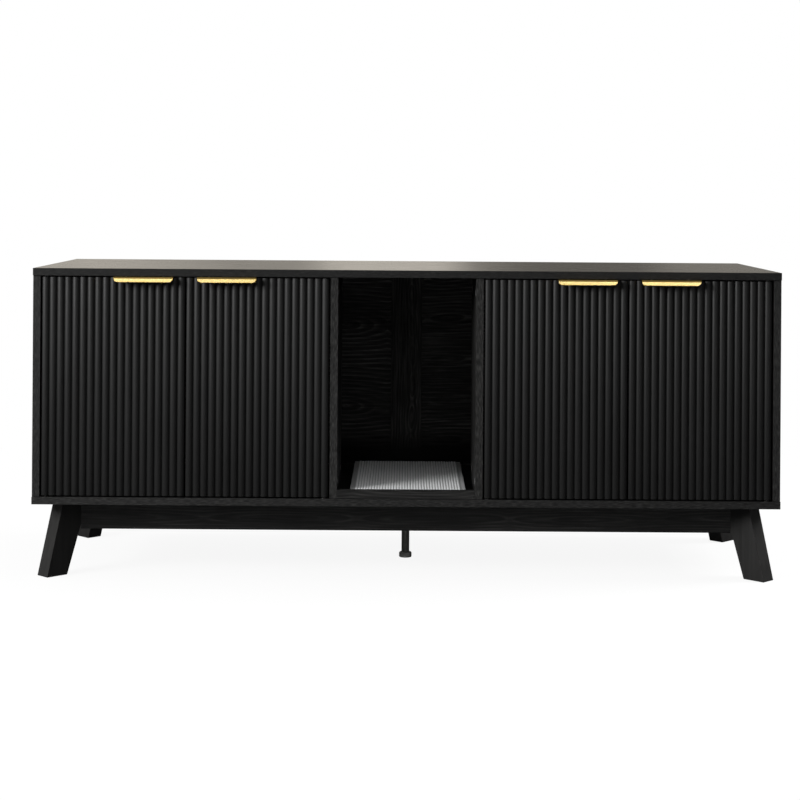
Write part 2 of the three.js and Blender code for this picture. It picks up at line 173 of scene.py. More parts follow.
def coordinates(tree, kind):
    """The x, y and z of one of Blender's texture coordinates."""
    place = tree.nodes.new("ShaderNodeTexCoord")
    split = tree.nodes.new("ShaderNodeSeparateXYZ")
    tree.links.new(place.outputs[kind], split.inputs[0])
    return [Field(tree, socket) for socket in split.outputs]


def ray_kinds(tree):
    """1 for the camera's own rays, and 1 for rays that metal, gloss or glass sends on."""
    kinds = tree.nodes.new("ShaderNodeLightPath").outputs
    seen = Field(tree, kinds["Is Camera Ray"])
    mirrored = Field(tree, kinds["Is Glossy Ray"]).most(kinds["Is Transmission Ray"])
    return seen, mirrored


class Surface:
    """One material: its node tree, and places on the object in metres."""

    def __init__(self, name, **plain):
        self.material = bpy.data.materials.new(name)
        self.tree = fresh_tree(self.material)
        output = self.tree.nodes.new("ShaderNodeOutputMaterial")
        self.shader = self.tree.nodes.new("ShaderNodeBsdfPrincipled")
        self.tree.links.new(self.shader.outputs[0], output.inputs["Surface"])
        for key, value in plain.items():
            self.set(key.replace("_", " ").title().replace("Ior", "IOR"), value)

    def set(self, name, value):
        feed(self.tree, self.shader.inputs[name], value)

    def axes(self):
        """The object's own x, y and z."""
        return coordinates(self.tree, "Object")

    def facing(self, axis):
        """1 where the surface faces along one of the object's axes, 0 elsewhere."""
        return coordinates(self.tree, "Normal")[axis].size().between(0.6, 0.8)

    def noise(self, x, y, z, scale=1.0, detail=2.0):
        """Scale, and what x, y and z come multiplied by, are in cycles per metre."""
        join = self.tree.nodes.new("ShaderNodeCombineXYZ")
        for slot, value in enumerate((x, y, z)):
            feed(self.tree, join.inputs[slot], value)
        node = self.tree.nodes.new("ShaderNodeTexNoise")
        self.tree.links.new(join.outputs[0], node.inputs["Vector"])
        node.inputs["Scale"].default_value = scale
        node.inputs["Detail"].default_value = detail
        return Field(self.tree, node.outputs["Fac"])

    def bump(self, height, distance, strength):
        node = self.tree.nodes.new("ShaderNodeBump")
        node.inputs["Strength"].default_value = strength
        node.inputs["Distance"].default_value = distance
        feed(self.tree, node.inputs["Height"], height)
        self.set("Normal", node.outputs[0])


# ------------------------------------------------------------------ materials

PLAIN_GRAIN = {"spread": 0.085, "pitch": 0.0060, "slope": 0.10, "depth": 0.016}
STAIN = ((0.0, 0.0005), (0.08, 0.0040), (0.35, 0.0095), (0.60, 0.0190), (0.90, 0.0430))
STAIN_TINT = (1.0, 0.985, 0.955)
SEED_STEP = 1.713  # metres of the noise between boards one seed apart
SWAY = 24 * MM  # how far a ring wanders across the board
LIFT = 0.6  # how far the cut wanders, as a share of its depth
FRAY = 0.35  # how ragged a ring is, as a share of the pitch
VEIN_PEAK, VEIN_END = 0.16, 0.75  # where in a ring its pale vein is palest, and where it ends
FAINT_VEIN = 0.30  # what is left of a vein where it fades
EDGE_VEIN = 0.2  # and on the board's edges, which are paler and rougher throughout
EDGE_PALE, EDGE_ROUGH = 0.54, 0.22
PORE = (0.58, 0.70)  # the values of a noise at which a pore starts and is full
PORE_OUTSIDE = 0.3  # how deep pores are outside a vein
PORE_DARK, PORE_ROUGH = 0.14, 0.12
ROUGH_SPREAD = 0.06
BACK_CORE = (0.299, 0.302)  # in Y, between the back's front and rear faces
REAR_TONE = 0.6  # the rear face's tone against the front's


def black_oak(name, order, heart, seed, face=0.0, rough=0.40, level=0.40, tones=1.0,
              veins=0.40, painted_shade_below=None, relief=0.14 * MM, grain=PLAIN_GRAIN):
    """Black-stained open-grained board. order names the axes along the grain, across the
    face and through the board; heart is a place, along and across, where an oval of the
    grain is centred, and face is where the board's face lies. In grain, hearts are spread
    across the face at twice spread, rings follow each other at pitch, and the cut runs
    through them at slope, down to depth and back. level is the gloss, tones brightens the
    stain, and veins is the rings' share in it. Below the heights in painted_shade_below
    the front face is painted darker, down to black: painted shade low in the bay. relief
    is how deep the pores lie."""
    made = Surface(name, specular_ior_level=level)
    by_axis = dict(zip("XYZ", made.axes()))
    along, across, through = (by_axis[axis] for axis in order)
    edge = made.facing("XYZ".index(order[1]))  # the board's long narrow edges
    far = along + seed * SEED_STEP  # the noise is another one for each board

    def grit(lengthwise, crosswise, detail):
        return made.noise(far * lengthwise, across * crosswise, through * crosswise,
                          detail=detail)

    sway = made.noise(far, 0.0, seed * 3.1, scale=2.6, detail=1.0)
    lift = made.noise(far, 4.0, seed * 5.7, scale=7.0, detail=1.5)
    fray = grit(9.0, 60.0, 3.0)
    offset = (across - heart[1] + (sway - 0.5) * SWAY).fold(grain["spread"])
    run = (along - heart[0]) * grain["slope"] + (through - face)
    depth = (run + (lift - 0.5) * grain["depth"] * LIFT).fold(grain["depth"])
    radius = (offset * offset + depth * depth).root() + (fray - 0.5) * FRAY * grain["pitch"]
    ring = (radius * (1 / grain["pitch"])).math("FRACT")

    vein = ring.between(0.0, VEIN_PEAK) * ring.between(VEIN_PEAK, VEIN_END, 1.0, 0.0)
    vein *= edge.mix(1.0, EDGE_VEIN)
    fade = made.noise(far * 4.0, across * 9.0, seed * 7.9, detail=1.0)
    vein *= fade.between(0.38, 0.62, FAINT_VEIN, 1.0)
    streak = grit(11.0, 240.0, 4.0)
    pore = grit(60.0, 1700.0, 1.5).between(*PORE) * vein.mix(PORE_OUTSIDE, 1.0)
    plain = streak.vary() * 0.7 + grit(1.2, 9.0, 2.0).vary() * 0.3
    fleck = grit(70.0, 700.0, 3.0).between(0.32, 0.68, -0.15, 1.15)
    plain = plain + (fleck - plain) * edge
    tone = vein * veins + plain * (1 - veins) - pore * PORE_DARK + edge * veins * EDGE_PALE
    # Painted shade: the front face eases down to black between two heights, low in the bay.
    if painted_shade_below:
        front = by_axis["Y"].between(*BACK_CORE, 1.0, 0.0)
        shaded = by_axis["Z"].between(*painted_shade_below, 1.0, 0.0) * front
        tone = tone * shaded.mix(1.0, 0.0) * front.mix(REAR_TONE, 1.0)
    made.set("Base Color", tone.ramp(*(
        (place, [light * tones * tint for tint in STAIN_TINT]) for place, light in STAIN
    )))
    gloss = streak.vary(rough + ROUGH_SPREAD, rough - ROUGH_SPREAD)
    made.set("Roughness", gloss + pore * PORE_ROUGH + edge * EDGE_ROUGH)
    made.bump(vein * 0.4 - pore * 0.8 + streak * 0.35, relief, 0.5)
    return made.material


def spread_tone(tone, share):
    """A colour a share darker, and the same share lighter."""
    return [[channel * (1 + way * share) for channel in tone] for way in (-1, 1)]


def black_paint(name, tone, roughness, level):
    """Matt paint with the faint orange peel of a roller or a spray gun."""
    made = Surface(name, specular_ior_level=level)
    x, y, z = made.axes()
    peel = made.noise(x, y, z, scale=900.0)
    cloud = made.noise(x, y, z * 0.35, scale=7.0, detail=3.0)
    dust = made.noise(x, y, z, scale=3200.0, detail=0.0)
    made.set("Base Color", (cloud * 0.7 + peel * 0.3).tint(*spread_tone(tone, 0.14)))
    mottle = cloud * 0.5 + dust * 0.5
    made.set("Roughness", mottle.vary(roughness - 0.04, roughness + 0.05))
    made.bump(peel + dust * 0.25, 0.05 * MM, 0.35)
    return made.material


def painted_leg(name):
    """Solid wood under black paint: the grain shows faintly through it, along the leg."""
    made = Surface(name, specular_ior_level=0.45)
    x, y, z = made.axes()
    streak = made.noise(x * 130.0, y * 130.0, z * 5.0, detail=4.0)
    pores = made.noise(x * 900.0, y * 900.0, z * 45.0, detail=1.0)
    cloud = made.noise(x * 9.0, y * 9.0, z * 5.0)
    made.set("Base Color", (streak * 0.6 + cloud * 0.4).ramp(
        (0.25, (0.0115, 0.0112, 0.0108)), (0.75, (0.0235, 0.0228, 0.0220)),
    ))
    made.set("Roughness", streak.vary(0.44, 0.54))
    made.bump(streak * 0.6 - pores.between(0.58, 0.7) * 0.5, 0.12 * MM, 0.5)
    return made.material


def gold(name):
    """Brushed and lacquered brass, the brush marks running along the pull."""
    made = Surface(name, metallic=1.0, anisotropic=0.35, coat_weight=1.0, coat_ior=2.15,
                   coat_roughness=0.12)
    x, y, z = made.axes()
    brush = made.noise(x * 40.0, y * 5200.0, z * 5200.0)
    cloud = made.noise(x * 25.0, y * 60.0, z * 60.0)
    tone = brush * 0.5 + cloud * 0.5
    made.set("Base Color", tone.tint((0.95, 0.62, 0.09), (1.0, 0.69, 0.12)))
    made.set("Roughness", brush.vary(0.19, 0.25))
    made.bump(brush, 0.01 * MM, 0.4)
    return made.material


def zinc(name, metallic=1.0, dullness=0.0):
    """Bright zinc plate, with the soft clouding of the bath, or duller cast zinc."""
    made = Surface(name, metallic=metallic)
    x, y, z = made.axes()
    cloud = made.noise(x, y, z, scale=160.0, detail=3.0)
    grit = made.noise(x, y, z, scale=2600.0, detail=1.0)
    made.set("Base Color", cloud.tint((0.36, 0.36, 0.355), (0.56, 0.56, 0.55)))
    made.set("Roughness", cloud.vary(0.28 + dullness, 0.42 + dullness))
    made.bump(grit, 0.02 * MM, 0.3)
    return made.material


def dark_steel(name):
    """Dull grey steel rod with fine turning marks."""
    made = Surface(name, metallic=0.35)
    x, y, z = made.axes()
    marks = made.noise(x * 20.0, y * 20.0, z * 2400.0)
    cloud = made.noise(x, y, z, scale=70.0)
    made.set("Base Color", cloud.tint((0.20, 0.20, 0.19), (0.29, 0.29, 0.275)))
    made.set("Roughness", marks.vary(0.34, 0.46))
    made.bump(marks, 0.02 * MM, 0.3)
    return made.material


def nylon(name, tone):
    """Moulded plastic with a fine spark-eroded texture."""
    made = Surface(name, specular_ior_level=0.5)
    x, y, z = made.axes()
    grit = made.noise(x, y, z, scale=2400.0, detail=1.5)
    cloud = made.noise(x, y, z, scale=45.0)
    made.set("Base Color", cloud.tint(*spread_tone(tone, 0.15)))
    made.set("Roughness", grit.vary(0.46, 0.60))
    made.bump(grit, 0.03 * MM, 0.4)
    return made.material


CORD_LAY = 6.5 * MM
BORDER_SEAM = 1.5 * MM
# Painted shade: the flat border and the valleys between the rows are painted darker than the
# crests.
BORDER_SHADE = 0.26
VALLEY_SHADE = 0.34
VALLEY_REACH = 0.30  # from a valley to where the painted valley shade ends and the cord is palest, as a share of the pitch
CORD_TONES = (
    (0.0, (0.08, 0.082, 0.082)), (0.35, (0.39, 0.396, 0.396)),
    (0.7, (0.76, 0.772, 0.775)), (1.0, (0.86, 0.872, 0.875)),
)


def cord_grey(name, low, high, border, pitch):
    """Grey twisted cord in rows along Y between two places in X: slanted strands and loose
    fibres. The cord is painted darker into the valleys between the rows and is palest on the
    crests, and the plain border at both sides is painted darker still. Both darkenings are
    painted shade."""
    made = Surface(name, specular_ior_level=0.2, sheen_weight=0.15, sheen_roughness=0.5)
    x, y, z = made.axes()
    fibre = made.noise(x * 900.0 + y * 420.0, y * 900.0 - x * 260.0, z * 900.0, detail=3.0)
    turns = (x * 0.9 + y) * (2 * math.pi / CORD_LAY)
    twist = (turns + fibre * 1.6).sine() * 0.5 + 0.5
    patch = made.noise(x, y, z, scale=28.0, detail=3.0)
    crest = (x - (low + border)).fold(pitch / 2).between(0.0, pitch * VALLEY_REACH)
    from_side = (x - low).fold((high - low) / 2)
    corded = from_side.between(border - BORDER_SEAM, border)
    weave = twist * 0.25 + fibre * 0.40 + patch * 0.35
    # painted shade: darker into the valleys between the rows, and on the flat border
    tone = crest.mix(VALLEY_SHADE, 1.0) * corded + corded.mix(BORDER_SHADE, 0.0)
    made.set("Base Color", (tone * weave.mix(0.65, 1.35)).ramp(*CORD_TONES))
    made.set("Roughness", fibre.vary(0.78, 0.95))
    made.bump(twist * 0.6 + fibre * 0.5, 0.5 * MM, 0.6)
    return made.material


# ------------------------------------------------------------------ mesh helpers

SHARP = 32  # degrees; faces that meet at more than this show an edge
TURNED_SIDES = 72
ROUND_SIDES = 36
SMALL_SIDES = 28
THREAD_SIDES = 20


class Shape:
    """Gathers geometry, then becomes one piece."""

    def __init__(self):
        self.bm = bmesh.new()

    def rings(self, rings):
        """A skin over closed rings of points, with flat ends."""
        rows = [[self.bm.verts.new(point) for point in ring] for ring in rings]
        count = len(rows[0])
        for low, high in zip(rows, rows[1:]):
            for i in range(count):
                j = (i + 1) % count
                self.bm.faces.new((low[i], low[j], high[j], high[i]))
        self.bm.faces.new(list(reversed(rows[0])))
        self.bm.faces.new(rows[-1])

    def lathe(self, profile, sides, place=Matrix()):
        """A profile of (radius, height) points, from the axis to the axis, turned."""
        rows = []
        for radius, height in profile:
            count = sides if radius > 0 else 1
            rows.append([
                self.bm.verts.new(place @ Vector((
                    radius * math.cos(2 * math.pi * i / sides),
                    radius * math.sin(2 * math.pi * i / sides),
                    height,
                )))
                for i in range(count)
            ])
        for low, high in zip(rows, rows[1:]):
            for i in range(sides):
                j = (i + 1) % sides
                corners = [low[i % len(low)], low[j % len(low)]]
                corners += [high[j % len(high)], high[i % len(high)]]
                unique = list(dict.fromkeys(corners))
                if len(unique) > 2:
                    self.bm.faces.new(unique)

    def add(self, template, place):
        """A copy of a template mesh, moved to its place."""
        known = len(self.bm.verts)
        self.bm.from_mesh(template)
        self.bm.verts.ensure_lookup_table()
        for vertex in self.bm.verts[known:]:
            vertex.co = place @ vertex.co

    def mesh(self, name, sharp=SHARP):
        bmesh.ops.recalc_face_normals(self.bm, faces=self.bm.faces)
        data = bpy.data.meshes.new(name)
        self.bm.to_mesh(data)
        self.bm.free()
        shade(data, sharp)
        return data

    def piece(self, name, material, body, slot, replaces=(), sharp=SHARP):
        return as_piece(self.mesh(name, sharp), name, material, body, replaces)


def shade(data, sharp):
    data.shade_smooth()
    data.set_sharp_from_angle(angle=math.radians(sharp))


def link(name, data):
    made = bpy.data.objects.new(name, data)
    bpy.context.scene.collection.objects.link(made)
    return made


def as_piece(data, name, material, body, replaces=()):
    made = link(name, data)
    data.materials.clear()
    data.materials.append(material)
    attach(made, body)
    if replaces:
        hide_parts(*replaces)
    return made


def cut(data, tools):
    """data less the tools' meshes."""
    base = link("cut_base", data)
    helpers = []
    for tool in tools:
        helper = link("cut_tool", tool)
        modifier = base.modifiers.new("cut", "BOOLEAN")
        modifier.operation = "DIFFERENCE"
        modifier.solver = "EXACT"
        modifier.object = helper
        helpers.append(helper)
    graph = bpy.context.evaluated_depsgraph_get()
    result = bpy.data.meshes.new_from_object(base.evaluated_get(graph))
    for helper in [base, *helpers]:
        bpy.data.objects.remove(helper)
    shade(result, SHARP)
    return result


def bevel(made, width, segments, angle):
    """Eases the edges where faces meet at more than an angle, in degrees."""
    edge = made.modifiers.new("edge", "BEVEL")
    edge.width = width
    edge.segments = segments
    edge.limit_method = "ANGLE"
    edge.angle_limit = math.radians(angle)


def inset(outline, distance):
    """A closed outline, anticlockwise, moved in by a distance."""
    moved = []
    for i, point in enumerate(outline):
        before, after = outline[i - 1], outline[(i + 1) % len(outline)]
        normals = []
        for a, b in ((before, point), (point, after)):
            run = Vector((b[0] - a[0], b[1] - a[1])).normalized()
            normals.append(Vector((run.y, -run.x)))
        reach = (normals[0] + normals[1]) / (1 + normals[0].dot(normals[1]))
        moved.append((point[0] - reach.x * distance, point[1] - reach.y * distance))
    return moved


def rounded_ends(outline, low, high, radius, steps=3):
    """Rings of an outline pushed up from low to high, its two ends' edges rounded."""
    rings = []
    for end, way in ((low, 1), (high, -1)):
        for i in range(steps + 1)[::way]:
            angle = RIGHT_ANGLE * i / steps
            level = end + way * radius * (1 - math.cos(angle))
            ring = inset(outline, radius * (1 - math.sin(angle)))
            rings.append([(x, y, level) for x, y in ring])
    return rings


def arc(cx, cy, radius, start, stop, steps):
    return [
        (
            cx + radius * math.cos(start + (stop - start) * i / steps),
            cy + radius * math.sin(start + (stop - start) * i / steps),
        )
        for i in range(steps + 1)
    ]


def towards(direction, place):
    """The matrix that stands +Z along a direction, at a place."""
    turned = Vector(direction).to_track_quat("Z", "Y").to_matrix().to_4x4()
    return Matrix.Translation(place) @ turned


def dress(name, material, edge=0.0, segments=2):
    """Gives a frame node its finish, and eases its edges."""
    node = NODES[name]
    node.data.materials.clear()
    node.data.materials.append(material)
    if edge:
        weld = node.modifiers.new("weld", "WELD")
        weld.merge_threshold = 0.02 * MM
        bevel(node, edge, segments, 40)


# ------------------------------------------------------------------ carcass

BOARD_EDGE = 0.5 * MM

# The tones are set board by board so that each board shows as bright as its place calls for
# under these lamps. Above 1, on the dividers and the back, they are painted light.
DIVIDER = {"rough": 0.55, "level": 0.30, "tones": 1.2}
APRON_GRAIN = {"spread": 0.060, "pitch": 0.0062, "slope": 0.075, "depth": 0.014}
BACK = {
    "face": 0.2965, "rough": 0.62, "level": 0.15, "veins": 0.42, "tones": 3.6,
    # the heights where the painted shade low on the front face is full and where it ends
    "painted_shade_below": (0.232, 0.298),
}
LEFT_BACK = {
    **BACK, "grain": {"spread": 0.1105, "pitch": 0.0115, "slope": 0.30, "depth": 0.034},
}
RIGHT_BACK = {
    **BACK, "grain": {"spread": 0.0553, "pitch": 0.0100, "slope": 0.22, "depth": 0.013},
}
STILE = {
    **BACK, "face": 0.278,
    "grain": {"spread": 0.060, "pitch": 0.0070, "slope": 0.26, "depth": 0.0107},
}

# Tones below 1, on the top, the bottom and the left side panel, are painted shade. The lip's
# tone above 1 is painted light.
BOARDS = {
    # name: (axes along, across and through; heart along and across; seed; the rest)
    "top_panel": ("XYZ", (0.11, 0.05), 0.31, {
        "face": 0.746, "rough": 0.22, "tones": 0.40, "relief": 0.03 * MM,
    }),
    "bottom_panel": ("XYZ", (-0.42, 0.03), 1.27, {"face": 0.196, "tones": 0.84}),
    "side_panel_left": ("ZYX", (0.42, 0.02), 2.11, {"face": -0.899, "tones": 0.68}),
    "side_panel_right": ("ZYX", (0.51, -0.05), 3.53, {"face": 0.899}),
    "divider_left": ("ZYX", (0.47, -0.14), 4.19, {"face": -0.166, **DIVIDER}),
    "divider_right": ("ZYX", (0.39, -0.12), 5.41, {"face": 0.166, **DIVIDER}),
    "back_panel_left": ("XZY", (-0.165, 0.572), 6.37, LEFT_BACK),
    "back_panel_right": ("XZY", (0.112, 0.485), 7.73, RIGHT_BACK),
    "back_stile": ("ZXY", (0.408, 0.014), 8.29, STILE),
    "bay_lip": ("XZY", (0.04, 0.222), 9.13, {"face": -0.2885, "tones": 1.1}),
    "front_apron": ("XZY", (-0.31, 0.138), 10.9, {"face": -0.2145, "grain": APRON_GRAIN}),
    "rear_apron": ("XZY", (0.22, 0.146), 11.7, {"face": 0.2315, "grain": APRON_GRAIN}),
    "left_apron": ("YZX", (0.03, 0.140), 12.3, {"face": -0.823, "grain": APRON_GRAIN}),
    "right_apron": ("YZX", (-0.05, 0.145), 13.9, {"face": 0.823, "grain": APRON_GRAIN}),
}


def dress_boards():
    for name, (order, heart, seed, rest) in BOARDS.items():
        oak = black_oak(f"black_oak_{name}", order, heart, seed, **rest)
        dress(name, oak, BOARD_EDGE)


# ------------------------------------------------------------------ doors

RIB_PITCH = 18.16 * MM
RIB_DEPTH = 5 * MM
RIB_STEPS = 22
DOOR_EDGE = 0.7 * MM
PIVOT_FROM_EDGE = 9.5 * MM
PIVOT_FROM_FRONT = 11.5 * MM
BUSH_HOLE_RADIUS = 4.6 * MM
BUSH_HOLE_DEPTH = 11.3 * MM
BUSH_HOLE_SIDES = 40

# Whether a door hangs by its left edge.
HINGE_LEFT = {"outer_left": True, "inner_left": False, "inner_right": True, "outer_right": False}


def door_mesh(place, low, high):
    """A slab with upright round ribs, the first and the last one trimmed alike, and a
    hole for a bush at both ends of its pivot edge."""
    width = high.x - low.x
    count = math.ceil(width / RIB_PITCH)
    trim = (count * RIB_PITCH - width) / 2
    radius = RIB_PITCH ** 2 / (8 * RIB_DEPTH) + RIB_DEPTH / 2
    half = math.asin(RIB_PITCH / 2 / radius)
    end = math.asin((RIB_PITCH / 2 - trim) / radius)
    outline = []
    for rib in range(count):
        middle = low.x - trim + RIB_PITCH * (rib + 0.5)
        start = -RIGHT_ANGLE - (end if rib == 0 else half)
        stop = -RIGHT_ANGLE + (end if rib == count - 1 else half)
        points = arc(middle, low.y + radius, radius, start, stop, RIB_STEPS)
        outline += points if rib == 0 else points[1:]
    corner = DOOR_EDGE
    outline += arc(high.x - corner, high.y - corner, corner, 0, RIGHT_ANGLE, 3)
    outline += arc(low.x + corner, high.y - corner, corner, RIGHT_ANGLE, math.pi, 3)
    slab = Shape()
    slab.rings(rounded_ends(outline, low.z, high.z, DOOR_EDGE))
    pivot_x = low.x + PIVOT_FROM_EDGE if HINGE_LEFT[place] else high.x - PIVOT_FROM_EDGE
    across, deep = BUSH_HOLE_RADIUS, BUSH_HOLE_DEPTH
    tools = []
    for level in (low.z, high.z):
        hole = Shape()
        at = Matrix.Translation((pivot_x, low.y + PIVOT_FROM_FRONT, level))
        hole.lathe([(0, -deep), (across, -deep), (across, deep), (0, deep)],
                   BUSH_HOLE_SIDES, at)
        tools.append(hole.mesh("hole"))
    return cut(slab.mesh("slab"), tools)


PULL_THICKNESS = 1.4 * MM
PULL_BEND = 4.5 * MM
PULL_CORNER = 10.5 * MM
PULL_CORNER_STEPS = 12
PULL_BEND_STEPS = 8
PULL_LEAF_STEPS = 6
PULL_EDGE = 0.25 * MM


def pull_mesh(low, high):
    """The strip's middle surface, from its back edge over the fold to the lip's low edge.
    The lip's two low corners are rounded."""
    middle = (low.x + high.x) / 2
    half = (high.x - low.x) / 2
    inner = half - PULL_CORNER
    stations = []
    for i in range(PULL_CORNER_STEPS + 1):
        angle = RIGHT_ANGLE * i / PULL_CORNER_STEPS
        x = inner + PULL_CORNER * math.sin(angle)
        stations.append((x, low.z + PULL_CORNER * (1 - math.cos(angle))))
    flat = [(inner * i / 4, low.z) for i in range(-3, 4)]
    stations = [(-x, z) for x, z in reversed(stations)] + flat + stations
    level = high.z - PULL_THICKNESS / 2
    fold = PULL_BEND - PULL_THICKNESS / 2
    bend_y, bend_z = low.y + PULL_BEND, high.z - PULL_BEND
    parts = [i / PULL_LEAF_STEPS for i in range(PULL_LEAF_STEPS + 1)]
    shape = Shape()
    rows = []
    for x, bottom in stations:
        path = [(high.y + (bend_y - high.y) * part, level) for part in parts[:-1]]
        path += arc(bend_y, bend_z, fold, RIGHT_ANGLE, math.pi, PULL_BEND_STEPS)
        path += [(bend_y - fold, bend_z + (bottom - bend_z) * part) for part in parts[1:]]
        rows.append([shape.bm.verts.new((middle + x, y, z)) for y, z in path])
    for left, right in zip(rows, rows[1:]):
        for i in range(len(left) - 1):
            shape.bm.faces.new((left[i], right[i], right[i + 1], left[i + 1]))
    return shape.mesh("pull", sharp=45)


def make_doors(paint, brass):
    for place in HINGE_LEFT:
        body = f"{place}_door"
        low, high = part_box(f"door_{place}")
        as_piece(
            door_mesh(place, low, high),
            f"ribbed_door_{place}", paint, body, [f"door_{place}"],
        )
        low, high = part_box(f"pull_{place}")
        pull = as_piece(
            pull_mesh(low, high),
            f"folded_pull_{place}", brass, body, [f"pull_{place}"],
        )
        skin = pull.modifiers.new("thickness", "SOLIDIFY")
        skin.thickness = PULL_THICKNESS
        skin.offset = 0
        skin.use_even_offset = True
        bevel(pull, PULL_EDGE, 2, 50)


# ------------------------------------------------------------------ scratch pad

PAD_RIBS = 38
PAD_BORDER = 12 * MM
PAD_RIB_HEIGHT = 1.6 * MM
PAD_CORNER = 3.0 * MM
PAD_EASE = 1.0 * MM
PAD_RIB_STEPS = 8
PAD_CORNER_STEPS = 5
PAD_TOP_STEPS = 30
PAD_UNDER_STEPS = 6
CORD_DIP = 0.09 * MM  # how deep each of the two waves along a cord goes
DIP_LENGTHS = (41 * MM, 170 * MM)


def pad_section(low, high, proud):
    """The ring round the core, lengthways, standing proud of it by proud."""
    reach = PAD_RIB_HEIGHT
    y0, y1 = low.y + reach, high.y - reach
    z0, z1 = low.z + reach, high.z - reach
    corner, radius = PAD_CORNER, PAD_CORNER + proud
    length = y1 - y0 - 2 * corner

    def turn(y, z, quarter):
        start = RIGHT_ANGLE * quarter
        return arc(y, z, radius, start, start + RIGHT_ANGLE, PAD_CORNER_STEPS)

    points = turn(y1 - corner, z1 - corner, 0)
    points += [
        (y1 - corner - length * i / PAD_TOP_STEPS, z1 + proud)
        for i in range(1, PAD_TOP_STEPS)
    ]
    points += turn(y0 + corner, z1 - corner, 1)
    points += [(y0 - proud, (z0 + z1) / 2)]
    points += turn(y0 + corner, z0 + corner, 2)
    points += [
        (y0 + corner + length * i / PAD_UNDER_STEPS, z0 - proud)
        for i in range(1, PAD_UNDER_STEPS)
    ]
    points += turn(y1 - corner, z0 + corner, 3)
    points += [(y1 + proud, (z0 + z1) / 2)]
    return points


def cord_dip(y, rib):
    """How deep a cord lies at a place along it; no two cords dip alike."""
    short, long = (2 * math.pi * y / length for length in DIP_LENGTHS)
    return CORD_DIP * (2 + math.sin(short + rib * 2.3) + math.sin(long + rib))


def make_pad():
    low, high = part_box("scratch_pad")
    pitch = (high.x - low.x - 2 * PAD_BORDER) / PAD_RIBS
    radius = pitch * pitch / (8 * PAD_RIB_HEIGHT) + PAD_RIB_HEIGHT / 2
    angles = [RIGHT_ANGLE * i / 3 for i in range(4)]
    side = [(PAD_EASE * (1 - math.cos(a)), PAD_EASE * (math.sin(a) - 1)) for a in angles]
    side.append((PAD_BORDER / 2, 0.0))
    rows = [(low.x + across, proud, None) for across, proud in side]
    for rib in range(PAD_RIBS):
        middle = low.x + PAD_BORDER + pitch * (rib + 0.5)
        for step in range(PAD_RIB_STEPS + (rib == PAD_RIBS - 1)):
            across = -pitch / 2 + pitch * step / PAD_RIB_STEPS
            proud = PAD_RIB_HEIGHT - radius + math.sqrt(radius * radius - across * across)
            rows.append((middle + across, max(0.0, proud), rib))
    rows += [(high.x - across, proud, None) for across, proud in reversed(side)]
    half_way = (low.z + high.z) / 2
    rings = []
    for x, proud, rib in rows:
        ring = []
        for y, z in pad_section(low, high, proud):
            sunk = 0.0 if rib is None else cord_dip(y, rib) * proud / PAD_RIB_HEIGHT
            ring.append((x, y, z - sunk if z > half_way else z + sunk))
        rings.append(ring)
    shape = Shape()
    shape.rings(rings)
    cord = cord_grey("grey_cord", low.x, high.x, PAD_BORDER, pitch)
    shape.piece("corded_scratch_pad", cord, "pad", "grey_ribbed_pad", ["scratch_pad"],
                sharp=50)


# ------------------------------------------------------------------ base and support

LEG_EDGE = 1.2 * MM
BRACKET_EDGE = 0.4 * MM
ROD_EDGE = 0.8 * MM
FOOT_EDGE = 1.2 * MM
FOOT_BULGE = 4 * MM
SOCKET_BORE = 10.3 * MM
SOCKET_SLEEVE = 14.3 * MM
SOCKET_FLANGE = 3 * MM
SOCKET_FILLET = 3 * MM
SLEEVE_EDGE = 1 * MM
FLANGE_EDGE = 0.8 * MM


def make_base(wood, steel):
    for corner in ("front_left", "front_right", "rear_right", "rear_left"):
        dress(f"leg_{corner}", wood, LEG_EDGE, 3)
        dress(f"leg_bracket_{corner}", steel, BRACKET_EDGE)


def make_support(steel, plastic):
    low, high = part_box("support_rod")
    at = Matrix.Translation(((low.x + high.x) / 2, (low.y + high.y) / 2, 0))
    radius, ease = (high.x - low.x) / 2, ROD_EDGE
    shape = Shape()
    shape.lathe([
        (0, low.z), (radius - ease, low.z), (radius, low.z + ease),
        (radius, high.z - ease), (radius - ease, high.z), (0, high.z),
    ], TURNED_SIDES, at)
    shape.piece("turned_rod", steel, "adjustable_foot", "dark_steel", ["support_rod"])

    low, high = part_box("support_foot")
    radius, ease, bulge = (high.x - low.x) / 2, FOOT_EDGE, FOOT_BULGE
    profile = [(0, low.z), (radius - ease, low.z), (radius, low.z + ease)]
    profile += arc(radius - bulge, high.z - bulge, bulge, 0, RIGHT_ANGLE, 8)
    profile += [(0, high.z)]
    shape = Shape()
    shape.lathe(profile, TURNED_SIDES, at)
    shape.piece("moulded_foot", plastic, "adjustable_foot", "black_nylon", ["support_foot"])

    low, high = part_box("support_socket")
    radius = (high.x - low.x) / 2
    bore, sleeve, under = SOCKET_BORE, SOCKET_SLEEVE, high.z - SOCKET_FLANGE
    ease, fillet = SLEEVE_EDGE, SOCKET_FILLET
    shape = Shape()
    shape.lathe([
        (0, under), (bore, under), (bore, low.z + ease), (bore + ease, low.z),
        (sleeve - ease, low.z), (sleeve, low.z + ease), (sleeve, under - fillet),
        (sleeve + 0.3 * fillet, under - 0.3 * fillet), (sleeve + fillet, under),
        (radius - FLANGE_EDGE, under), (radius, under + FLANGE_EDGE),
        (radius, high.z), (0, high.z),
    ], TURNED_SIDES, at)
    shape.piece("moulded_socket", plastic, "carcass", "black_nylon", ["support_socket"])


# ------------------------------------------------------------------ fasteners

# Screw heads are (radius, height).
BRACKET_SCREW = (4.0 * MM, 1.8 * MM)
BACK_SCREW = (3.6 * MM, 1.5 * MM)
SMALL_SCREW = (3.0 * MM, 1.2 * MM)
PULL_SCREW = (3.2 * MM, 0.28 * MM)
DISC_EDGE = 0.3 * MM

